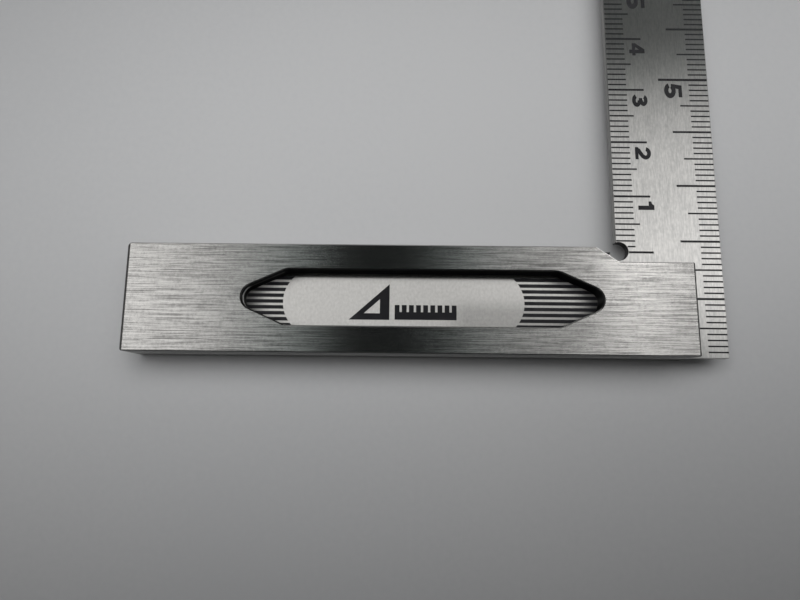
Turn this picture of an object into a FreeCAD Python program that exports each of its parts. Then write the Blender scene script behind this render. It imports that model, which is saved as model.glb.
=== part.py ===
import FreeCAD, Part
import math
import os

os.makedirs("parts", exist_ok=True)
V = FreeCAD.Vector

# Fixed steel try square, lying flat. Millimetres, +Z up.
# The drawing datum is the square's outer corner (heel), with the stock running
# towards -X from it and the graduated blade towards +Y. Every profile below is
# dimensioned from that corner, and the finished solids are shifted so that the
# origin is the centre of the bounding box, on the surface the square lies on.

# Overall sizes
STOCK_LENGTH = 100.0        # heel to the stock's free end, along X
STOCK_WIDTH = 18.0          # outer edge to inner reference face, along Y
BLADE_LENGTH = 170.0        # heel to the blade's free end, along Y
BLADE_WIDTH = 18.0          # along X
PLATE_THICKNESS = 1.5       # the L-shaped plate
CHEEK_THICKNESS = 3.5       # each stock bar

# Heights of the three layers
Z_PLATE = CHEEK_THICKNESS
Z_FRONT = Z_PLATE + PLATE_THICKNESS
Z_TOP = Z_FRONT + CHEEK_THICKNESS

# Corner details
HEEL_GAP = 6.25             # blade left uncovered beside the cheeks' end
STEP_Y = 15.5               # cheek edge over the blade, set back so the zero line shows
SLANT_START_X = 22.4        # where the slanted cut leaves the reference face
SLANT_END_X = 18.64         # where it meets the set-back edge
RELIEF_R = 1.55             # relief hole in the plate's inner corner
RELIEF_X = 17.48
RELIEF_Y = 18.15

# Window through each cheek: a long hexagon with rounded tips
WINDOW_CX = 51.15
WINDOW_CY = 9.1
WINDOW_HALF_FLAT = 22.35    # half the straight side, to the sharp corner
WINDOW_HALF_H = 4.65
WINDOW_ANGLE = 24.3         # slope of the tapered ends, degrees
WINDOW_TIP_R = 2.1
WINDOW_CORNER_R = 3.0

# Small radii and broken edges
FREE_END_R_IN = 0.7         # stock's free end, on the reference face side
FREE_END_R_OUT = 0.4
BLADE_TIP_R = 0.5
SLANT_R = 0.6
CORNER_R = 0.25
EDGE_BREAK = 0.18           # on the cheeks' outer faces
WINDOW_BREAK = 0.22         # around the window's mouth
SEAM_BREAK = 0.08           # on the mating edges, so the seams read as fine lines
PLATE_BREAK = 0.1

# Blind dowel pins that locate and hold the three layers
PIN_R = 1.5
PIN_LENGTH = 6.0
PIN_BREAK = 0.3
PIN_HOLE_EXTRA = 0.1
PIN_SPOTS = [(-93.5, 4.6), (-93.5, 13.4), (-12.6, 4.0), (-12.6, 11.8)]

# From the heel to the row frame
SHIFT = V(STOCK_LENGTH / 2.0, -BLADE_LENGTH / 2.0, 0.0)


def rounded_wire(points, z):
    """Closed wire through (x, y, r) corners, each rounded by a tangent arc."""
    n = len(points)
    corners = []
    for i in range(n):
        x, y, r = points[i]
        p = V(x, y, z)
        if r <= 0.0:
            corners.append((p, None, p))
            continue
        a = V(points[i - 1][0], points[i - 1][1], z)
        b = V(points[(i + 1) % n][0], points[(i + 1) % n][1], z)
        u = (a - p).normalize()
        w = (b - p).normalize()
        half = u.getAngle(w) / 2.0
        reach = r / math.tan(half)
        first = p + u * reach
        last = p + w * reach
        bisector = (u + w).normalize()
        centre = p + bisector * (r / math.sin(half))
        middle = centre - bisector * r
        corners.append((first, middle, last))
    edges = []
    for i in range(n):
        first, middle, last = corners[i]
        if middle is not None:
            edges.append(Part.Arc(first, middle, last).toShape())
        following = corners[(i + 1) % n][0]
        if (following - last).Length > 1e-7:
            edges.append(Part.LineSegment(last, following).toShape())
    return Part.Wire(edges)


def rim_edges(solid, z, test=None):
    """Edges of a solid that lie wholly in the plane at height z."""
    found = []
    for edge in solid.Edges:
        box = edge.BoundBox
        if abs(box.ZMin - z) < 1e-6 and abs(box.ZMax - z) < 1e-6:
            if test is None or test(box):
                found.append(edge)
    return found


def window_wire(z):
    slope = math.tan(math.radians(WINDOW_ANGLE))
    apex = WINDOW_HALF_FLAT + WINDOW_HALF_H / slope
    cx, cy = -WINDOW_CX, WINDOW_CY
    return rounded_wire(
        [
            (cx - apex, cy, WINDOW_TIP_R),
            (cx - WINDOW_HALF_FLAT, cy - WINDOW_HALF_H, WINDOW_CORNER_R),
            (cx + WINDOW_HALF_FLAT, cy - WINDOW_HALF_H, WINDOW_CORNER_R),
            (cx + apex, cy, WINDOW_TIP_R),
            (cx + WINDOW_HALF_FLAT, cy + WINDOW_HALF_H, WINDOW_CORNER_R),
            (cx - WINDOW_HALF_FLAT, cy + WINDOW_HALF_H, WINDOW_CORNER_R),
        ],
        z,
    )


def in_window(box):
    return (
        box.XMin > -WINDOW_CX - 33.0
        and box.XMax < -WINDOW_CX + 33.0
        and box.YMin > WINDOW_CY - WINDOW_HALF_H - 0.01
        and box.YMax < WINDOW_CY + WINDOW_HALF_H + 0.01
    )


def cheek(z_low, outer_is_top):
    """One stock bar: outline, window, blind pin holes and broken edges."""
    outline = rounded_wire(
        [
            (-STOCK_LENGTH, 0.0, FREE_END_R_OUT),
            (-HEEL_GAP, 0.0, CORNER_R),
            (-HEEL_GAP, STEP_Y, CORNER_R),
            (-SLANT_END_X, STEP_Y, SLANT_R),
            (-SLANT_START_X, STOCK_WIDTH, SLANT_R),
            (-STOCK_LENGTH, STOCK_WIDTH, FREE_END_R_IN),
        ],
        z_low,
    )
    bar = Part.Face(outline).extrude(V(0, 0, CHEEK_THICKNESS))
    hole = Part.Face(window_wire(z_low - 1.0)).extrude(V(0, 0, CHEEK_THICKNESS + 2.0))
    bar = bar.cut(hole)
    z_high = z_low + CHEEK_THICKNESS
    z_outer, z_inner = (z_high, z_low) if outer_is_top else (z_low, z_high)
    bar = bar.makeChamfer(EDGE_BREAK, rim_edges(bar, z_outer, lambda b: not in_window(b)))
    bar = bar.makeChamfer(WINDOW_BREAK, rim_edges(bar, z_outer, in_window))
    bar = bar.makeChamfer(SEAM_BREAK, rim_edges(bar, z_inner, lambda b: not in_window(b)))
    reach = (PIN_LENGTH - PLATE_THICKNESS) / 2.0 + PIN_HOLE_EXTRA
    for x, y in PIN_SPOTS:
        if outer_is_top:
            drill = Part.makeCylinder(PIN_R, reach + 1.0, V(x, y, z_low - 1.0), V(0, 0, 1))
        else:
            drill = Part.makeCylinder(PIN_R, reach + 1.0, V(x, y, z_high + 1.0), V(0, 0, -1))
        bar = bar.cut(drill)
    return bar


def blade_plate():
    """The one L-shaped plate: blade and stock core, with the corner relief."""
    up = RELIEF_Y + math.sqrt(RELIEF_R**2 - (BLADE_WIDTH - RELIEF_X) ** 2)
    left = -RELIEF_X - math.sqrt(RELIEF_R**2 - (RELIEF_Y - STOCK_WIDTH) ** 2)
    outline = rounded_wire(
        [
            (-STOCK_LENGTH, 0.0, FREE_END_R_OUT),
            (0.0, 0.0, CORNER_R),
            (0.0, BLADE_LENGTH, BLADE_TIP_R),
            (-BLADE_WIDTH, BLADE_LENGTH, BLADE_TIP_R),
            (-BLADE_WIDTH, STOCK_WIDTH, 0.0),
            (-STOCK_LENGTH, STOCK_WIDTH, FREE_END_R_IN),
        ],
        Z_PLATE,
    )
    plate = Part.Face(outline).extrude(V(0, 0, PLATE_THICKNESS))
    relief = Part.makeCylinder(
        RELIEF_R, PLATE_THICKNESS + 2.0, V(-RELIEF_X, RELIEF_Y, Z_PLATE - 1.0), V(0, 0, 1)
    )
    plate = plate.cut(relief)
    for z in (Z_PLATE, Z_FRONT):
        plate = plate.makeChamfer(PLATE_BREAK, rim_edges(plate, z))
    for x, y in PIN_SPOTS:
        plate = plate.cut(
            Part.makeCylinder(PIN_R, PLATE_THICKNESS + 2.0, V(x, y, Z_PLATE - 1.0), V(0, 0, 1))
        )
    assert left < -BLADE_WIDTH and up > STOCK_WIDTH
    return plate


def dowel_pins():
    """Four identical pins, centred on the plate, ending blind in both cheeks."""
    z = Z_PLATE + PLATE_THICKNESS / 2.0 - PIN_LENGTH / 2.0
    pins = []
    for x, y in PIN_SPOTS:
        pin = Part.makeCylinder(PIN_R, PIN_LENGTH, V(x, y, z), V(0, 0, 1))
        pin = pin.makeChamfer(PIN_BREAK, rim_edges(pin, z) + rim_edges(pin, z + PIN_LENGTH))
        pins.append(pin)
    return Part.makeCompound(pins)


nodes = {
    "back_cheek": cheek(0.0, False),
    "blade_plate": blade_plate(),
    "front_cheek": cheek(Z_FRONT, True),
    "dowel_pins": dowel_pins(),
}

for name, shape in nodes.items():
    shape = shape.copy()
    shape.translate(SHIFT)
    assert shape.isValid(), name
    print(
        name,
        "solids", len(shape.Solids),
        "volume_mm3", round(shape.Volume, 2),
        "box", [round(v, 3) for v in (shape.BoundBox.XMin, shape.BoundBox.YMin, shape.BoundBox.ZMin, shape.BoundBox.XMax, shape.BoundBox.YMax, shape.BoundBox.ZMax)],
    )
    shape.exportStep("parts/" + name + ".step")
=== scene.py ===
import math

import bpy
import bmesh
from mathutils import Matrix, Vector
from mathutils.geometry import delaunay_2d_cdt


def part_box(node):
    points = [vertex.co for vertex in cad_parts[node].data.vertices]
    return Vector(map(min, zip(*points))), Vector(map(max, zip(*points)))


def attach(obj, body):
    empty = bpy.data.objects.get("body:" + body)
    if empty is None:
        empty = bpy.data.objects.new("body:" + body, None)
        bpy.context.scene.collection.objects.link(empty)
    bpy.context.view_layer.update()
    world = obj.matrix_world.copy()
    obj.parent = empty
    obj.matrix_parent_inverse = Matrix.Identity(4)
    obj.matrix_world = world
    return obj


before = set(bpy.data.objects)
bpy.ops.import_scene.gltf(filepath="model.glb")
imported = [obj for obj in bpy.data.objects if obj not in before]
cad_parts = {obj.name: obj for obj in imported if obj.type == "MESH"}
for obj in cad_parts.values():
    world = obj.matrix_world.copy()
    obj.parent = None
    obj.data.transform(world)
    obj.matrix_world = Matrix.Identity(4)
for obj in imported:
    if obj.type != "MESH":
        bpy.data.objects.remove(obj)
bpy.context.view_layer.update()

scene = bpy.context.scene
MM = 0.001

# The CAD drawing datum, the square's outer corner, in the row frame (mm).
plate_low, plate_high = [c * 1000.0 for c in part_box("blade_plate")]
cheek_low, cheek_high = [c * 1000.0 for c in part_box("front_cheek")]
back_low, back_high = [c * 1000.0 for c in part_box("back_cheek")]
HEEL_X = plate_high.x
HEEL_Y = plate_low.y
Z_PLATE_TOP = plate_high.z
Z_PLATE_UNDER = plate_low.z
STOCK_LENGTH = plate_high.x - plate_low.x
BLADE_LENGTH = plate_high.y - plate_low.y
HEEL_GAP = plate_high.x - cheek_high.x
BLADE_WIDTH = 18.0
STOCK_WIDTH = cheek_high.y - cheek_low.y
RELIEF_X, RELIEF_Y, RELIEF_R = -17.48, 18.15, 1.55
PLATE_BREAK = 0.1

# Window outline, as the cheeks have it (datum at the outer corner)
WIN_CX, WIN_CY = -51.15, 9.1
WIN_HALF_FLAT, WIN_HALF_H = 22.35, 4.65
WIN_SLOPE = math.tan(math.radians(24.3))
WIN_TIP_R = 2.1


# ---------------------------------------------------------------- node helpers
class Graph:
    """Short hand for building a shader graph."""

    def __init__(self, tree):
        self.tree = tree
        self.links = tree.links

    def node(self, kind, **props):
        n = self.tree.nodes.new(kind)
        for k, v in props.items():
            setattr(n, k, v)
        return n

    def feed(self, socket, value):
        if hasattr(value, "links"):
            self.links.new(value, socket)
        else:
            socket.default_value = value

    def math(self, op, a, b=0.0, c=0.0, clamp=False):
        n = self.node("ShaderNodeMath", operation=op, use_clamp=clamp)
        self.feed(n.inputs[0], a)
        self.feed(n.inputs[1], b)
        self.feed(n.inputs[2], c)
        return n.outputs[0]

    def vec(self, op, a, b=(0.0, 0.0, 0.0)):
        n = self.node("ShaderNodeVectorMath", operation=op)
        self.feed(n.inputs[0], a)
        self.feed(n.inputs[1], b)
        return n.outputs["Value"] if op in ("DOT_PRODUCT", "LENGTH") else n.outputs[0]

    def ramp(self, value, low, high, out_low=0.0, out_high=1.0, smooth=True):
        n = self.node("ShaderNodeMapRange", interpolation_type="SMOOTHSTEP" if smooth else "LINEAR", clamp=True)
        self.feed(n.inputs["Value"], value)
        n.inputs["From Min"].default_value = low
        n.inputs["From Max"].default_value = high
        n.inputs["To Min"].default_value = out_low
        n.inputs["To Max"].default_value = out_high
        return n.outputs["Result"]

    def curve(self, value, points):
        """Piecewise curve through (x, y) points, x within 0..1."""
        n = self.node("ShaderNodeFloatCurve")
        c = n.mapping.curves[0]
        while len(c.points) < len(points):
            c.points.new(0.5, 0.5)
        for p, (x, y) in zip(c.points, points):
            p.location = (x, y)
            p.handle_type = "VECTOR"
        n.mapping.use_clip = False
        n.mapping.update()
        self.feed(n.inputs["Value"], value)
        return n.outputs[0]

    def noise(self, vector, scale=1.0, detail=2.0, rough=0.5, distortion=0.0):
        n = self.node("ShaderNodeTexNoise")
        self.feed(n.inputs["Vector"], vector)
        n.inputs["Scale"].default_value = scale
        n.inputs["Detail"].default_value = detail
        n.inputs["Roughness"].default_value = rough
        n.inputs["Distortion"].default_value = distortion
        return n.outputs["Fac"]

    def stretch(self, vector, scale, offset=(0.0, 0.0, 0.0)):
        n = self.node("ShaderNodeMapping")
        self.feed(n.inputs["Vector"], vector)
        n.inputs["Location"].default_value = offset
        n.inputs["Scale"].default_value = scale
        return n.outputs[0]

    def blend(self, factor, a, b):
        """Colour mix."""
        n = self.node("ShaderNodeMix", data_type="RGBA")
        self.feed(n.inputs[0], factor)
        self.feed(n.inputs[6], a)
        self.feed(n.inputs[7], b)
        return n.outputs[2]


def new_material(name):
    m = bpy.data.materials.new(name)
    m.use_nodes = True
    g = Graph(m.node_tree)
    bsdf = m.node_tree.nodes["Principled BSDF"]
    return m, g, bsdf


def brushed(name, grain, other, dark, light, rough_low, rough_high, aniso, fine, length, bump, rim, wall, cuts, grit, sharp, part):
    """Satin steel with its grain along one row axis.

    grain: unit vector. other: the grain's direction on faces square to it.
    dark, light: colours of the grooves and the ridges.
    fine: ridges a millimetre across the grain. length: mean ridge length, mm.
    rim: how far broken edges are painted in shade, to black. wall: the same for upright sides.
    cuts: strength of the deeper scratches. grit: strength of the fine grit
    marks between them. sharp: the pattern levels that turn fully dark and
    fully light. part: "stock", "plate" or "pin"."""
    m, g, bsdf = new_material(name)
    place = g.node("ShaderNodeTexCoord").outputs["Object"]
    geo = g.node("ShaderNodeNewGeometry")
    normal = geo.outputs["True Normal"]
    signed = g.node("ShaderNodeSeparateXYZ")
    g.links.new(normal, signed.inputs[0])
    sx, sy, sz = signed.outputs
    nx = g.math("ABSOLUTE", sx)
    nz = g.math("ABSOLUTE", sz)
    where = g.node("ShaderNodeSeparateXYZ")
    g.links.new(place, where.inputs[0])
    across = fine * 1000.0
    along = 1000.0 / length

    def scale(k_across, k_along, axis=grain):
        return tuple(along * k_along if abs(c) > 0.5 else across * k_across for c in axis)

    hair = g.noise(g.stretch(place, scale(1.0, 1.0)), 1.0, 2.0, 0.6)
    long_hair = g.noise(g.stretch(place, scale(0.55, 0.40), (0.37, 0.11, 0.73)), 1.0, 1.0, 0.5)
    band = g.noise(g.stretch(place, scale(0.08, 0.30), (1.3, 2.1, 0.4)), 1.0, 2.0, 0.5)
    cloud = g.noise(g.stretch(place, (60.0, 60.0, 60.0)), 1.0, 2.0, 0.5)
    mottle = g.noise(g.stretch(place, (2400.0, 1700.0, 2400.0)), 1.0, 2.0, 0.55)
    mix = g.math("MULTIPLY_ADD", hair, 0.62, g.math("MULTIPLY_ADD", long_hair, 0.30, g.math("MULTIPLY", band, 0.08)))
    # faces square to the grain are finished along the other direction
    butt = g.ramp(g.math("ABSOLUTE", g.vec("DOT_PRODUCT", normal, tuple(grain))), 0.80, 0.95)
    ends = g.noise(g.stretch(place, scale(1.0, 1.6, other), (2.9, 0.7, 1.9)), 1.0, 2.0, 0.6)
    mix = g.math("MULTIPLY_ADD", g.math("SUBTRACT", ends, mix), butt, mix)
    tone = g.ramp(g.math("MULTIPLY_ADD", g.math("SUBTRACT", mottle, 0.5), grit, mix), sharp[0], sharp[1], smooth=False)
    colour = g.blend(tone, dark, light)
    # deeper, longer scratches
    cut = g.noise(g.stretch(place, scale(1.0, 0.34), (4.1, 7.7, 3.3)), 1.0, 1.0, 0.5)
    cut = g.math("MULTIPLY", g.ramp(cut, 0.60, 0.70), cuts)
    colour = g.blend(cut, colour, tuple(c * 0.40 for c in dark[:3]) + (1.0,))
    colour = g.blend(g.ramp(cloud, 0.35, 0.7, 0.0, 0.08), colour, tuple(c * 0.8 for c in dark[:3]) + (1.0,))
    rough = g.ramp(mix, 0.38, 0.60, rough_high, rough_low)
    metal = 1.0
    if part == "plate":
        # the etched label panel in the window is matt and finely mottled
        px = g.math("ABSOLUTE", g.math("SUBTRACT", where.outputs[0], (HEEL_X + WIN_CX) * MM))
        py = g.math("ABSOLUTE", g.math("SUBTRACT", where.outputs[1], (HEEL_Y + WIN_CY) * MM))
        panel = g.math("MULTIPLY", g.ramp(px, 0.0330, 0.0325), g.ramp(py, 0.0056, 0.0052))
        flat = g.blend(g.ramp(mottle, 0.30, 0.70, smooth=False), tuple(c * 0.868 for c in light[:3]) + (1.0,), tuple(c * 1.055 for c in light[:3]) + (1.0,))
        flat = g.blend(g.math("MULTIPLY", tone, 0.22), flat, dark)
        # painted shade: the panel darkens towards its right end
        flat = g.blend(g.ramp(where.outputs[0], (HEEL_X - 64.0) * MM, (HEEL_X - 47.0) * MM, 0.02, 0.12), flat, (0.05, 0.05, 0.05, 1.0))
        # painted shade: darker still in the panel's lower right part
        wear_and_painted_shade = g.math("MULTIPLY", g.ramp(where.outputs[0], (HEEL_X - 49.0) * MM, (HEEL_X - 43.2) * MM),
                      g.ramp(where.outputs[1], (HEEL_Y + 10.4) * MM, (HEEL_Y + 7.0) * MM))
        flat = g.blend(g.math("MULTIPLY", wear_and_painted_shade, 0.33), flat, (0.05, 0.05, 0.05, 1.0))
        colour = g.blend(g.ramp(mottle, 0.35, 0.68, 0.10, 0.0, smooth=False), colour, dark)
        colour = g.blend(panel, colour, flat)
        # painted shade in the window's two tips, where the floor lies next to the dark walls
        tip = g.math("MULTIPLY", g.ramp(px, 0.0248, 0.0310), panel)
        colour = g.blend(g.math("MULTIPLY", tip, 0.78), colour, (0.03, 0.03, 0.03, 1.0))

    # broken edges lie neither flat nor upright; painted shade darkens them,
    # the ones across the ends the most
    edge = g.math("MULTIPLY", g.ramp(nz, 0.25, 0.45), g.ramp(nz, 0.97, 0.85))
    end = g.math("MULTIPLY", edge, g.ramp(nx, 0.35, 0.6))
    side = g.ramp(nz, 0.35, 0.2)
    # near black used below as painted shade on edges, sides and the bar's ends
    painted_shade_black = (0.018, 0.018, 0.019, 1.0)
    if part == "stock":
        # painted highlight: the slanted cut's edge is kept out of the painted shade and coloured near white
        slant = g.math("MULTIPLY", edge, g.ramp(g.math("MULTIPLY", sx, sy), 0.12, 0.20))
        slant = g.math("MULTIPLY", slant, g.ramp(where.outputs[1], (HEEL_Y + 14.6) * MM, (HEEL_Y + 15.1) * MM))
        outside_slant_highlight = g.math("SUBTRACT", 1.0, slant)
        colour = g.blend(g.math("MULTIPLY", g.math("MULTIPLY", edge, rim[0]), outside_slant_highlight), colour, painted_shade_black)
        colour = g.blend(g.math("MULTIPLY", g.math("MULTIPLY", end, rim[1]), outside_slant_highlight), colour, painted_shade_black)
        # painted shade on the broken edges that face the front
        colour = g.blend(g.math("MULTIPLY", g.math("MULTIPLY", edge, g.ramp(sy, -0.3, -0.55)), 0.7), colour, painted_shade_black)
        colour = g.blend(g.math("MULTIPLY", slant, 0.9), colour, (0.95, 0.945, 0.94, 1.0))
    else:
        colour = g.blend(g.math("MULTIPLY", edge, rim[0]), colour, painted_shade_black)
        colour = g.blend(g.math("MULTIPLY", end, rim[1]), colour, painted_shade_black)
    calm = tuple(0.45 * a + 0.55 * b for a, b in zip(dark[:3], light[:3])) + (1.0,)
    colour = g.blend(g.math("MULTIPLY", side, 0.55), colour, calm)
    # painted shade on the upright sides
    colour = g.blend(g.math("MULTIPLY", side, wall), colour, painted_shade_black)
    if part == "plate":
        # painted shade: the relief hole's bore is coloured black
        bx = g.math("SUBTRACT", where.outputs[0], (HEEL_X + RELIEF_X) * MM)
        by = g.math("SUBTRACT", where.outputs[1], (HEEL_Y + RELIEF_Y) * MM)
        painted_bore_shade = g.math("SQRT", g.math("ADD", g.math("MULTIPLY", bx, bx), g.math("MULTIPLY", by, by)))
        painted_bore_shade = g.math("MULTIPLY", g.ramp(painted_bore_shade, (RELIEF_R + 0.16) * MM, (RELIEF_R + 0.11) * MM), g.ramp(nz, 0.90, 0.80))
        colour = g.blend(g.math("MULTIPLY", painted_bore_shade, 0.92), colour, (0.010, 0.010, 0.010, 1.0))
    rough = g.math("MULTIPLY_ADD", edge, 0.15, rough)
    if part == "stock":
        px = g.math("ABSOLUTE", g.math("SUBTRACT", where.outputs[0], (HEEL_X + WIN_CX) * MM))
        py = g.math("ABSOLUTE", g.math("SUBTRACT", where.outputs[1], (HEEL_Y + WIN_CY) * MM))
        inside = g.math("MULTIPLY", g.ramp(px, 0.0330, 0.0325), g.ramp(py, 0.0060, 0.0054))
        # milled walls of the window, coloured near black; the mouth's edge
        # towards the outer side is left out
        milled = g.math("MULTIPLY", inside, g.ramp(nz, 0.80, 0.5))
        outer_mouth_edge = g.math("MULTIPLY", g.math("MULTIPLY", g.ramp(sy, 0.30, 0.55), g.ramp(sx, 0.22, 0.12)), g.ramp(nz, 0.45, 0.6))
        milled = g.math("MULTIPLY", milled, g.math("SUBTRACT", 1.0, outer_mouth_edge))
        colour = g.blend(g.math("MULTIPLY", milled, 0.96), colour, (0.008, 0.008, 0.008, 1.0))
        # painted shade on the mouth's edge along the left tip's outer slope
        painted_edge_shade = g.math("MULTIPLY", g.math("MULTIPLY", inside, edge), g.math("MULTIPLY", g.ramp(sx, 0.17, 0.25), g.ramp(sy, 0.05, 0.20)))
        colour = g.blend(g.math("MULTIPLY", painted_edge_shade, 0.88), colour, (0.010, 0.010, 0.010, 1.0))
        rough = g.math("MULTIPLY_ADD", milled, 0.25, rough)
        # painted highlight: a bright band half way down the left tip's wall, where the metal is turned off
        depth = g.math("SUBTRACT", g.math("ABSOLUTE", g.math("SUBTRACT", where.outputs[2], (Z_PLATE_TOP + Z_PLATE_UNDER) / 2.0 * MM)), 0.00282)
        painted_wall_highlight = g.math("MULTIPLY", g.ramp(g.math("ABSOLUTE", depth), 0.00042, 0.00026), g.math("MULTIPLY", milled, g.ramp(sx, 0.30, 0.75)))
        colour = g.blend(g.math("MULTIPLY", painted_wall_highlight, 0.95), colour, (0.95, 0.95, 0.95, 1.0))
        metal = g.math("SUBTRACT", 1.0, painted_wall_highlight)
        # painted shade: a dark line on the top faces at the bar's two ends
        painted_end_shade = g.math("MAXIMUM", g.ramp(where.outputs[0], (HEEL_X - STOCK_LENGTH + 0.48) * MM, (HEEL_X - STOCK_LENGTH + 0.38) * MM),
                      g.ramp(where.outputs[0], (HEEL_X - HEEL_GAP - 0.34) * MM, (HEEL_X - HEEL_GAP - 0.26) * MM))
        painted_end_shade = g.math("MULTIPLY", painted_end_shade, g.ramp(nz, 0.5, 0.65))
        colour = g.blend(g.math("MULTIPLY", painted_end_shade, 0.93), colour, painted_shade_black)
    g.links.new(colour, bsdf.inputs["Base Color"])
    g.links.new(rough, bsdf.inputs["Roughness"])
    g.feed(bsdf.inputs["Metallic"], metal)
    bsdf.inputs["Anisotropic"].default_value = aniso
    turn = g.node("ShaderNodeCombineXYZ")
    for k in range(3):
        g.feed(turn.inputs[k], g.math("MULTIPLY_ADD", butt, 50.0 * other[k], grain[k]))
    lay = g.vec("NORMALIZE", g.vec("CROSS_PRODUCT", normal, turn.outputs[0]))
    g.links.new(lay, bsdf.inputs["Tangent"])
    b = g.node("ShaderNodeBump")
    b.inputs["Strength"].default_value = bump
    b.inputs["Distance"].default_value = 0.00002
    g.links.new(mix, b.inputs["Height"])
    g.links.new(b.outputs[0], bsdf.inputs["Normal"])
    return m


stock_steel = brushed(
    "stock_steel", (1.0, 0.0, 0.0), (0.0, 1.0, 0.0), (0.31, 0.308, 0.304, 1.0), (0.755, 0.75, 0.74, 1.0),
    0.22, 0.27, 0.985, 8.0, 5.6, 0.12, (0.45, 0.95), 0.76, 0.42, 0.22, (0.34, 0.56), "stock")
blade_steel = brushed(
    "blade_steel", (0.0, 1.0, 0.0), (1.0, 0.0, 0.0), (0.434, 0.436, 0.434, 1.0), (0.590, 0.587, 0.577, 1.0),
    0.278, 0.300, 1.0, 5.0, 1.35, 0.06, (0.45, 0.3), 0.50, 0.12, 0.25, (0.36, 0.62), "plate")
pin_steel = brushed(
    "pin_steel", (0.0, 0.0, 1.0), (1.0, 0.0, 0.0), (0.50, 0.50, 0.505, 1.0), (0.60, 0.60, 0.605, 1.0),
    0.28, 0.38, 0.5, 5.0, 4.0, 0.15, (0.2, 0.2), 0.0, 0.1, 0.1, (0.36, 0.62), "pin")

# Black filling of the etched lines: matt, slightly worn and uneven
fill_black, g, bsdf = new_material("scale_black")
place = g.node("ShaderNodeTexCoord").outputs["Object"]
patch = g.noise(g.stretch(place, (2600.0, 2600.0, 2600.0)), 1.0, 3.0, 0.6)
wide = g.noise(g.stretch(place, (300.0, 300.0, 300.0)), 1.0, 2.0, 0.5)
wear_and_painted_shade = g.math("MULTIPLY_ADD", g.ramp(patch, 0.50, 0.80), 0.5, g.math("MULTIPLY", g.ramp(wide, 0.45, 0.75), 0.5))
g.links.new(g.blend(wear_and_painted_shade, (0.008, 0.008, 0.010, 1.0), (0.030, 0.030, 0.033, 1.0)), bsdf.inputs["Base Color"])
g.links.new(g.ramp(patch, 0.3, 0.7, 0.42, 0.62), bsdf.inputs["Roughness"])
bsdf.inputs["Specular IOR Level"].default_value = 0.35
bb = g.node("ShaderNodeBump")
bb.inputs["Strength"].default_value = 0.15
bb.inputs["Distance"].default_value = 0.00002
g.links.new(patch, bb.inputs["Height"])
g.links.new(bb.outputs[0], bsdf.inputs["Normal"])

for node, material in (
    ("front_cheek", stock_steel),
    ("back_cheek", stock_steel),
    ("blade_plate", blade_steel),
    ("dowel_pins", pin_steel),
):
    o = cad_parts[node]
    o.data.materials.clear()
    o.data.materials.append(material)


# ------------------------------------------------------------- thin flat marks
FILL = 0.02  # mm that the filling stands on the plate


def prisms(bm, polygons, z0, z1, to_row):
    """Union of flat polygons (datum mm), raised from z0 to z1, as closed solids."""
    verts, faces = [], []
    for poly in polygons:
        start = len(verts)
        verts += [Vector(p) for p in poly]
        faces.append(list(range(start, start + len(poly))))
    out_v, _, out_f, _, _, orig = delaunay_2d_cdt(verts, [], faces, 0, 1e-6)
    keep = [f for f, src in zip(out_f, orig) if src]
    lower, upper = {}, {}

    def at(table, i, z):
        if i not in table:
            x, y, zz = to_row(out_v[i][0], out_v[i][1], z)
            table[i] = bm.verts.new((x * MM, y * MM, zz * MM))
        return table[i]

    count = {}
    for f in keep:
        bm.faces.new([at(upper, i, z1) for i in f])
        bm.faces.new([at(lower, i, z0) for i in reversed(f)])
        for a, b in zip(f, f[1:] + f[:1]):
            count[(a, b)] = count.get((a, b), 0) + 1
    for a, b in count:
        if (b, a) not in count:
            bm.faces.new([at(lower, a, z0), at(lower, b, z0), at(upper, b, z1), at(upper, a, z1)])


def rect(x0, y0, x1, y1):
    return [(x0, y0), (x1, y0), (x1, y1), (x0, y1)]


def arc(cx, cy, rx, ry, a0, a1, n=18, power=2.0):
    pts = []
    for i in range(n + 1):
        t = math.radians(a0 + (a1 - a0) * i / n)
        c, s = math.cos(t), math.sin(t)
        e = 2.0 / power
        pts.append((cx + rx * math.copysign(abs(c) ** e, c), cy + ry * math.copysign(abs(s) ** e, s)))
    return pts


def stroke(path, width, closed=False):
    """Quads of constant width along a path, with their joints bridged."""
    n = len(path)
    h = width / 2.0
    left, right = [], []
    for i, (x, y) in enumerate(path):
        if closed:
            a, b = path[i - 1], path[(i + 1) % n]
        else:
            a, b = path[max(i - 1, 0)], path[min(i + 1, n - 1)]
        dx, dy = b[0] - a[0], b[1] - a[1]
        d = math.hypot(dx, dy)
        left.append((x - dy / d * h, y + dx / d * h))
        right.append((x + dy / d * h, y - dx / d * h))
    quads = []
    for i in range(n if closed else n - 1):
        j = (i + 1) % n
        quads.append([right[i], right[j], left[j], left[i]])
    return quads


S = 0.24  # stroke in units of the digit height


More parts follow.
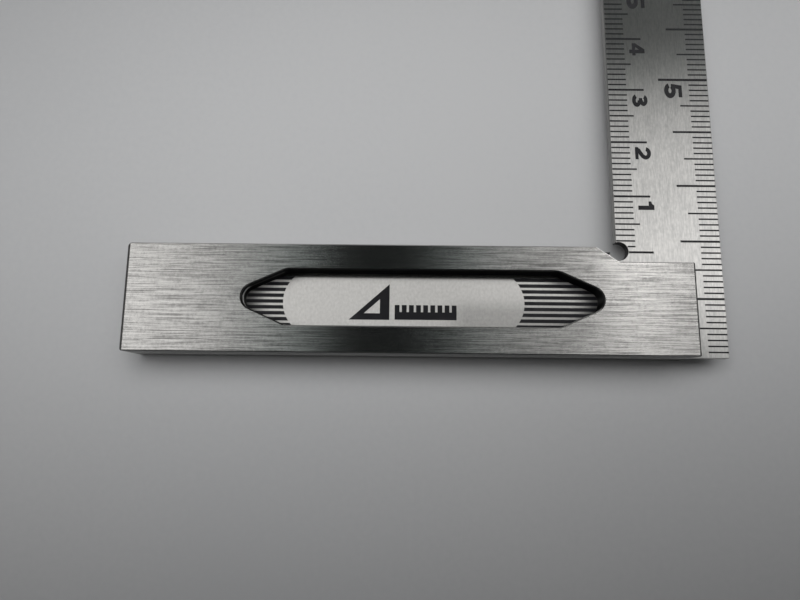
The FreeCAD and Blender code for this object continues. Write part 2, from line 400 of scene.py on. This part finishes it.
def glyph(ch):
    """(polygons, width) of a bold plain digit, 1 high."""
    h = S / 2.0
    if ch == "0":
        return stroke(arc(0.37, 0.5, 0.37 - h, 0.5 - h, 0, 355, 40, 2.35), S, True), 0.74
    if ch == "1":
        return [rect(0.245, 0.0, 0.49, 1.0), [(0.0, 0.66), (0.30, 0.66), (0.30, 1.0), (0.225, 1.0), (0.15, 0.885), (0.0, 0.82)]], 0.49
    if ch == "2":
        top = arc(0.37, 0.655, 0.37 - h, 0.345 - h, 172, -28, 22)
        x, y = top[-1]
        diag = top[-3:] + [(x - 0.07, y - 0.10), (x - 0.22, y - 0.21), (0.20, 0.235), (0.125, 0.10)]
        return stroke(top + diag[3:], S) + [rect(0.0, 0.0, 0.73, 0.2), [(0.0, 0.0), (0.2, 0.0), (0.2, 0.19), (0.05, 0.19), (0.0, 0.10)]], 0.74
    if ch == "3":
        up = arc(0.35, 0.7275, 0.30 - h + 0.03, 0.2725 - h, 163, -90, 22)
        low = arc(0.36, 0.2975, 0.37 - h, 0.2975 - h + 0.0, 90, -166, 24)
        return stroke(up, S * 0.97) + stroke(low, S) + [rect(0.22, 0.44, 0.46, 0.66)], 0.735
    if ch == "4":
        return [
            rect(0.0, 0.19, 0.80, 0.40),
            rect(0.425, 0.0, 0.655, 1.0),
            [(0.0, 0.2), (0.215, 0.2), (0.225, 0.38), (0.52, 0.76), (0.52, 1.0), (0.40, 1.0), (0.0, 0.40)],
        ], 0.80
    if ch == "5":
        bowl = arc(0.365, 0.325, 0.37 - h, 0.325 - h, 152, -166, 26)
        return stroke(bowl, S) + [
            rect(0.115, 0.8, 0.69, 1.0),
            [(0.035, 0.40), (0.215, 0.385), (0.225, 0.47), (0.30, 0.84), (0.30, 1.0), (0.115, 1.0)],
        ], 0.735
    if ch == "6" or ch == "9":
        ring = arc(0.375, 0.32, 0.375 - h, 0.32 - h, 0, 354, 34)
        stem = arc(0.385, 0.5, 0.385 - h, 0.5 - h, 182, 42, 22)
        polys = stroke(ring, S, True) + stroke(stem, S)
        if ch == "9":
            polys = [[(0.75 - x, 1.0 - y) for x, y in p] for p in polys]
        return polys, 0.75
    if ch == "7":
        leg = [(0.60, 0.85), (0.47, 0.66), (0.375, 0.45), (0.325, 0.22), (0.305, 0.0)]
        return stroke(leg, S * 1.05) + [rect(0.0, 0.8, 0.72, 1.0)], 0.72
    if ch == "8":
        top = arc(0.37, 0.7325, 0.325 - h, 0.2675 - h, 0, 353, 30)
        low = arc(0.37, 0.2875, 0.37 - h, 0.2875 - h, 0, 353, 34)
        return stroke(top, S, True) + stroke(low, S, True), 0.74
    raise ValueError(ch)


def number_polygons(text, height, stretch, anchor, up, right, align_end=False):
    """A number's polygons in datum mm. anchor is its lower left corner, or its
    lower right one with align_end; up and right are unit directions."""
    gap = 0.13
    glyphs = []
    for c in text:
        polys, w = glyph(c)
        k = {"3": 1.07, "4": 0.97, "5": 1.10}.get(c, 1.0)
        glyphs.append(([[(px * k, py) for px, py in p] for p in polys], w * k))
    total = sum(w for _, w in glyphs) + gap * (len(glyphs) - 1)
    x0 = -total if align_end else 0.0
    found = []
    for polys, w in glyphs:
        one = []
        for poly in polys:
            pts = []
            for px, py in poly:
                a = (x0 + px) * height * stretch
                b = py * height
                pts.append((anchor[0] + up[0] * b + right[0] * a, anchor[1] + up[1] * b + right[1] * a))
            one.append(ccw(pts))
        found.append(one)
        x0 += w + gap
    return found


def ccw(pts):
    area = sum(a[0] * b[1] - b[0] * a[1] for a, b in zip(pts, pts[1:] + pts[:1]))
    return pts if area > 0 else pts[::-1]


def window_x(y, side, inset):
    """Where the window's outline lies at height y: side -1 left, +1 right."""
    apex = WIN_HALF_FLAT + WIN_HALF_H / WIN_SLOPE
    dy = abs(y - WIN_CY)
    angle = math.atan(WIN_SLOPE)
    centre = apex - WIN_TIP_R / math.sin(angle)
    if dy < WIN_TIP_R * math.cos(angle):
        reach = centre + math.sqrt(WIN_TIP_R**2 - dy**2)
    else:
        reach = apex - dy / WIN_SLOPE
    return WIN_CX + side * (reach - inset)


LABEL_LEFT, LABEL_RIGHT, LABEL_R, LABEL_CY = -74.57, -33.85, 5.9, 8.88


def label_x(y, side):
    dy = y - LABEL_CY
    depth = LABEL_R - math.sqrt(LABEL_R**2 - dy**2)
    return LABEL_LEFT + depth if side < 0 else LABEL_RIGHT - depth


def stripe_polygons():
    """Nine etched stripes at each end of the window's floor."""
    found = []
    for k in range(9):
        mid = 4.92 + k * 1.0
        y0, y1 = mid - 0.30, mid + 0.30
        y0 = max(y0, WIN_CY - WIN_HALF_H + 0.03)
        y1 = min(y1, WIN_CY + WIN_HALF_H - 0.03)
        steps = [y0 + (y1 - y0) * i / 4 for i in range(5)]
        for side in (-1, 1):
            outer = [(window_x(y, side, 0.03), y) for y in steps]
            inner = [(label_x(y, side), y) for y in steps]
            found.append(ccw(outer + inner[::-1]))
    return found


def emblem_polygons():
    """A plain pictogram for the label: a drafting triangle and a notched rule."""
    triangle = [
        [(-63.4, 5.9), (-56.6, 5.9), (-56.6, 7.0), (-62.174, 7.0)],
        [(-58.2, 7.0), (-56.6, 7.0), (-56.6, 12.0), (-58.2, 10.565)],
        [(-62.174, 7.0), (-60.9, 7.0), (-58.2, 9.422), (-58.2, 10.565)],
    ]
    x0, x1, y0, y1 = -55.7, -45.3, 5.95, 8.45
    rule = [rect(x0, y0, x1, 7.25)]
    notch = 0.40
    teeth = 9
    pitch = (x1 - x0 + notch) / teeth
    for i in range(teeth):
        a = x0 + i * pitch
        rule.append(rect(a, 7.2, a + pitch - notch, y1))
    return triangle, rule


def tick_rects():
    """Both scales as rectangles: outer zero at the heel, inner zero at Y 18."""
    found = []
    edge_out = -PLATE_BREAK - 0.02
    for mm in range(1, 170):
        if mm % 50 == 0:
            reach, w = 8.85, 0.44
        elif mm % 10 == 0:
            reach, w = 6.85, 0.37
        elif mm % 5 == 0:
            reach, w = 5.20, 0.28
        else:
            reach, w = 3.45, 0.26
        if mm < 15.6:
            reach = min(reach, HEEL_GAP - 0.03)
        found.append(rect(-reach, mm - w / 2, edge_out, mm + w / 2))
    edge_in = -BLADE_WIDTH + PLATE_BREAK + 0.02
    for mm in range(0, 151):
        y = 18.0 + mm
        if mm % 50 == 0 and mm:
            tip, w = -9.60, 0.42
        elif mm % 10 == 0:
            tip, w = -11.55, 0.36
        elif mm % 5 == 0:
            tip, w = -13.60, 0.28
        else:
            tip, w = -14.62, 0.26
        start = edge_in
        dy = abs(y - RELIEF_Y)
        clear = RELIEF_R + PLATE_BREAK + 0.04
        near = dy - w / 2
        if near < clear:
            start = RELIEF_X + math.sqrt(clear**2 - max(near, 0.0) ** 2)
        found.append(rect(start, y - w / 2, tip, y + w / 2))
    return found


def marks_piece(name, faces_up):
    """One mesh of every mark on one face of the plate."""
    bm = bmesh.new()
    if faces_up:
        def to_row(x, y, z):
            return HEEL_X + x, HEEL_Y + y, Z_PLATE_TOP + z
    else:
        def to_row(x, y, z):
            return HEEL_X + x, HEEL_Y + y, Z_PLATE_UNDER - z
    for poly in tick_rects() + stripe_polygons():
        prisms(bm, [poly], 0.0, FILL, to_row)
    for group in emblem_polygons():
        prisms(bm, [ccw(list(poly)) for poly in group], 0.0, FILL, to_row)
    # painted shadow: a black strip along the plate's edge left of the relief hole
    prisms(bm, [rect(-20.6, 17.54, -19.10, 17.89)], 0.0, FILL, to_row)
    up = (1.0, 0.0)
    right = (0.0, -1.0) if faces_up else (0.0, 1.0)
    for cm in range(1, 16):
        tall, drop = (3.30, 0.90) if cm % 5 == 0 else (2.76, 0.90 if cm < 3 else 0.84)
        y = 18.0 + 10.0 * cm - drop
        for one in number_polygons(str(cm), tall, 1.13, (-13.72, y), up, right, not faces_up):
            prisms(bm, one, 0.0, FILL, to_row)
    for cm in (5, 10, 15):
        y = 10.0 * cm - 0.64
        for one in number_polygons(str(cm), 3.18, 1.13, (-7.88, y), up, right, not faces_up):
            prisms(bm, one, 0.0, FILL, to_row)
    if not faces_up:
        bmesh.ops.reverse_faces(bm, faces=bm.faces)
    mesh = bpy.data.meshes.new(name)
    bm.to_mesh(mesh)
    bm.free()
    mesh.materials.append(fill_black)
    o = bpy.data.objects.new(name, mesh)
    scene.collection.objects.link(o)
    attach(o, "root")
    return o


marks_piece("scale_marks_front", True)
marks_piece("scale_marks_back", False)

# ----------------------------------------------------------------------- stage
floor_mat, g, bsdf = new_material("table")
place = g.node("ShaderNodeTexCoord").outputs["Object"]
cloud = g.noise(g.stretch(place, (9.0, 9.0, 9.0)), 1.0, 3.0, 0.5)
grit = g.noise(g.stretch(place, (900.0, 900.0, 900.0)), 1.0, 2.0, 0.6)
tone = g.math("MULTIPLY_ADD", cloud, 0.7, g.math("MULTIPLY", grit, 0.3))
g.links.new(g.blend(g.ramp(tone, 0.35, 0.65), (0.600, 0.606, 0.615, 1.0), (0.630, 0.634, 0.640, 1.0)), bsdf.inputs["Base Color"])
bsdf.inputs["Roughness"].default_value = 0.6
bsdf.inputs["Specular IOR Level"].default_value = 0.25
# beyond the soft boxes' pool the table glows: painted light that keeps it pale out to the horizon
split = g.node("ShaderNodeSeparateXYZ")
g.links.new(place, split.inputs[0])
wx = g.math("MULTIPLY", g.ramp(split.outputs[0], -0.22, -0.09), g.ramp(split.outputs[0], 0.33, 0.08))
wy = g.math("MULTIPLY", g.ramp(split.outputs[1], -0.19, -0.127), g.ramp(split.outputs[1], 0.10, -0.012))
painted_glow = g.math("SUBTRACT", 1.0, g.math("MULTIPLY", wx, wy))
bsdf.inputs["Emission Color"].default_value = (1.0, 1.0, 1.0, 1.0)
g.links.new(g.math("MULTIPLY", painted_glow, 0.51), bsdf.inputs["Emission Strength"])
bm = bmesh.new()
bmesh.ops.create_grid(bm, x_segments=8, y_segments=8, size=2.5)
floor_mesh = bpy.data.meshes.new("table_top")
bm.to_mesh(floor_mesh)
bm.free()
floor_mesh.materials.append(floor_mat)
floor = bpy.data.objects.new("table_top", floor_mesh)
floor.location = (0.0, 0.0, -0.00002)
scene.collection.objects.link(floor)

# Soft key light from behind and slightly right: lights the table and casts the
# soft shadow, and is left out of the steel's reflections.
def area(name, where, aim, size_x, size_y, power, colour, glossy):
    light = bpy.data.lights.new(name, "AREA")
    light.shape = "RECTANGLE"
    light.size, light.size_y = size_x, size_y
    light.energy = power
    light.color = colour
    o = bpy.data.objects.new(name, light)
    o.location = where
    o.rotation_euler = (Vector(aim) - Vector(where)).to_track_quat("-Z", "Y").to_euler()
    o.visible_glossy = glossy
    scene.collection.objects.link(o)
    return o


def soft_box(name, x0, x1, y0, y1, z, power, grid):
    """A gridded soft box that hangs level over the table."""
    o = area(name, ((x0 + x1) / 2, (y0 + y1) / 2, z), ((x0 + x1) / 2, (y0 + y1) / 2, 0.0),
             x1 - x0, y1 - y0, power, (1.0, 1.0, 1.0), False)
    o.rotation_euler = (0.0, 0.0, 0.0)
    o.data.spread = 2.0 * math.atan(grid)


soft_box("soft_box_left", -0.1686, 0.0055, -0.0959, -0.0052, 0.138, 0.0468, 1.335)
soft_box("soft_box_right", -0.0513, 0.2372, -0.0733, 0.0195, 0.138, 0.0855, 1.335)

# Surroundings: a wide soft ceiling with a dark gap over the camera
world = bpy.data.worlds.new("studio")
scene.world = world
world.use_nodes = True
world.cycles.sampling_method = "NONE"
wt = world.node_tree
for n in list(wt.nodes):
    wt.nodes.remove(n)
g = Graph(wt)
heading = g.node("ShaderNodeTexCoord").outputs["Generated"]
parts = g.node("ShaderNodeSeparateXYZ")
g.links.new(heading, parts.inputs[0])
up = g.math("MAXIMUM", parts.outputs[2], 0.02)
u = g.math("DIVIDE", parts.outputs[0], up)
v = g.math("DIVIDE", parts.outputs[1], up)


def squeeze(x):
    """Whole line to 0..1."""
    return 0.5 + 0.5 * x / (abs(x) + 0.5)


def squeezed(socket):
    under = g.math("ADD", g.math("ABSOLUTE", socket), 0.5)
    return g.math("MULTIPLY_ADD", g.math("DIVIDE", socket, under), 0.5, 0.5)


su, sv = squeezed(u), squeezed(v)
LEFT_U = [(-4.0, 1.2), (-1.4, 1.4), (-0.9, 1.5), (-0.65, 1.45), (-0.5, 0.97), (-0.42, 0.93), (-0.35, 0.81),
          (-0.29, 0.56), (-0.23, 0.38), (-0.17, 0.21), (-0.11, 0.0), (-0.04, 0.0)]
LEFT_V = [(-4.0, 0.0), (-1.0, 0.0), (-0.5, 0.0), (-0.25, 0.02), (-0.1, 0.83), (0.02, 1.35), (0.12, 1.5),
          (0.22, 1.5), (0.32, 1.18), (0.44, 0.45), (0.56, 0.0), (4.0, 0.0)]
RIGHT_U = [(0.02, 0.0), (0.09, 0.13), (0.14, 0.38), (0.19, 0.50), (0.24, 0.59), (0.29, 0.60), (0.35, 1.15),
           (0.42, 1.65), (0.447, 1.48), (0.47, 1.00), (0.5, 0.90), (0.65, 1.36), (0.9, 1.5), (1.4, 1.5), (4.0, 1.4)]
RIGHT_V = [(-4.0, 0.0), (-0.1, 0.0), (0.02, 0.0), (0.12, 0.67), (0.22, 1.5), (0.32, 1.48), (0.40, 1.20),
           (0.47, 1.48), (0.53, 1.36), (0.585, 0.24), (0.62, 0.0), (4.0, 0.0)]


def lobe(socket, table):
    pts = [(0.0, table[0][1])] + [(squeeze(x), y) for x, y in table] + [(1.0, table[-1][1])]
    return g.curve(socket, pts)


left = g.math("MULTIPLY", lobe(su, LEFT_U), lobe(sv, LEFT_V))
right = g.math("MULTIPLY", lobe(su, RIGHT_U), lobe(sv, RIGHT_V))
r = g.math("SQRT", g.math("ADD", g.math("MULTIPLY", u, u), g.math("MULTIPLY", v, v)))
level = g.math("ADD", g.math("ADD", left, right), g.ramp(r, 1.5, 2.6, 0.003, 0.45))
# bright studio walls, seen only from low viewpoints
corner = g.math("MULTIPLY", g.ramp(g.math("ABSOLUTE", u), 0.60, 0.85), g.ramp(g.math("ABSOLUTE", v), 1.15, 1.50, 0.0, 1.60))
level = g.math("MAXIMUM", level, g.math("MAXIMUM", corner, g.ramp(r, 3.2, 5.0, 0.0, 1.00)))
front = g.ramp(g.math("DIVIDE", v, g.math("MAXIMUM", r, 0.01)), -0.80, -0.95)
level = g.math("MULTIPLY", level, g.math("SUBTRACT", 1.0, g.math("MULTIPLY", front, g.ramp(r, 1.3, 2.4, 0.0, 0.65))))
# dark band behind, which the blade's far part mirrors
band = g.math("MULTIPLY", g.ramp(v, 0.60, 0.75), g.ramp(v, 1.15, 0.98))
level = g.math("MULTIPLY_ADD", band, 0.02, g.math("MULTIPLY", level, g.math("SUBTRACT", 1.0, g.math("MULTIPLY", band, 0.92))))
tint = g.blend(g.ramp(level, 0.0, 0.9), (0.88, 1.0, 0.975, 1.0), (1.02, 1.0, 0.98, 1.0))
tint = g.blend(band, tint, (0.40, 1.0, 0.88, 1.0))
bg = g.node("ShaderNodeBackground")
g.links.new(tint, bg.inputs["Color"])
g.links.new(level, bg.inputs["Strength"])
ambient = g.node("ShaderNodeBackground")
ambient.inputs["Color"].default_value = (0.0085, 0.0085, 0.0088, 1.0)
seen = g.node("ShaderNodeBackground")
seen.inputs["Color"].default_value = (0.60, 0.606, 0.612, 1.0)
lp = g.node("ShaderNodeLightPath")
soft = g.node("ShaderNodeMixShader")
g.links.new(lp.outputs["Is Diffuse Ray"], soft.inputs[0])
g.links.new(bg.outputs[0], soft.inputs[1])
g.links.new(ambient.outputs[0], soft.inputs[2])
mixer = g.node("ShaderNodeMixShader")
g.links.new(lp.outputs["Is Camera Ray"], mixer.inputs[0])
g.links.new(soft.outputs[0], mixer.inputs[1])
g.links.new(seen.outputs[0], mixer.inputs[2])
out = g.node("ShaderNodeOutputWorld")
g.links.new(mixer.outputs[0], out.inputs[0])

# ---------------------------------------------------------------------- camera
cam = bpy.data.cameras.new("camera")
cam.sensor_fit = "HORIZONTAL"
cam.sensor_width = 36.0
cam.lens = 27.6675
cam.clip_start = 0.004
cam.clip_end = 20.0
cam_obj = bpy.data.objects.new("camera", cam)
right_axis = Vector((0.9999418, 0.0106304, -0.0018460))
down_axis = Vector((0.0101537, -0.9850046, -0.1722288))
forward = Vector((-0.0036492, 0.1722000, -0.9850552))
rot = Matrix((right_axis, -down_axis, -forward)).transposed()
cam_obj.matrix_world = Matrix.Translation(
    Vector((HEEL_X - 54.4506, HEEL_Y - 8.5566, Z_PLATE_TOP + 102.2054)) * MM
) @ rot.to_4x4()
scene.collection.objects.link(cam_obj)
scene.camera = cam_obj

scene.view_settings.view_transform = "Standard"
scene.view_settings.look = "None"
scene.view_settings.exposure = 0.0
scene.view_settings.gamma = 1.0
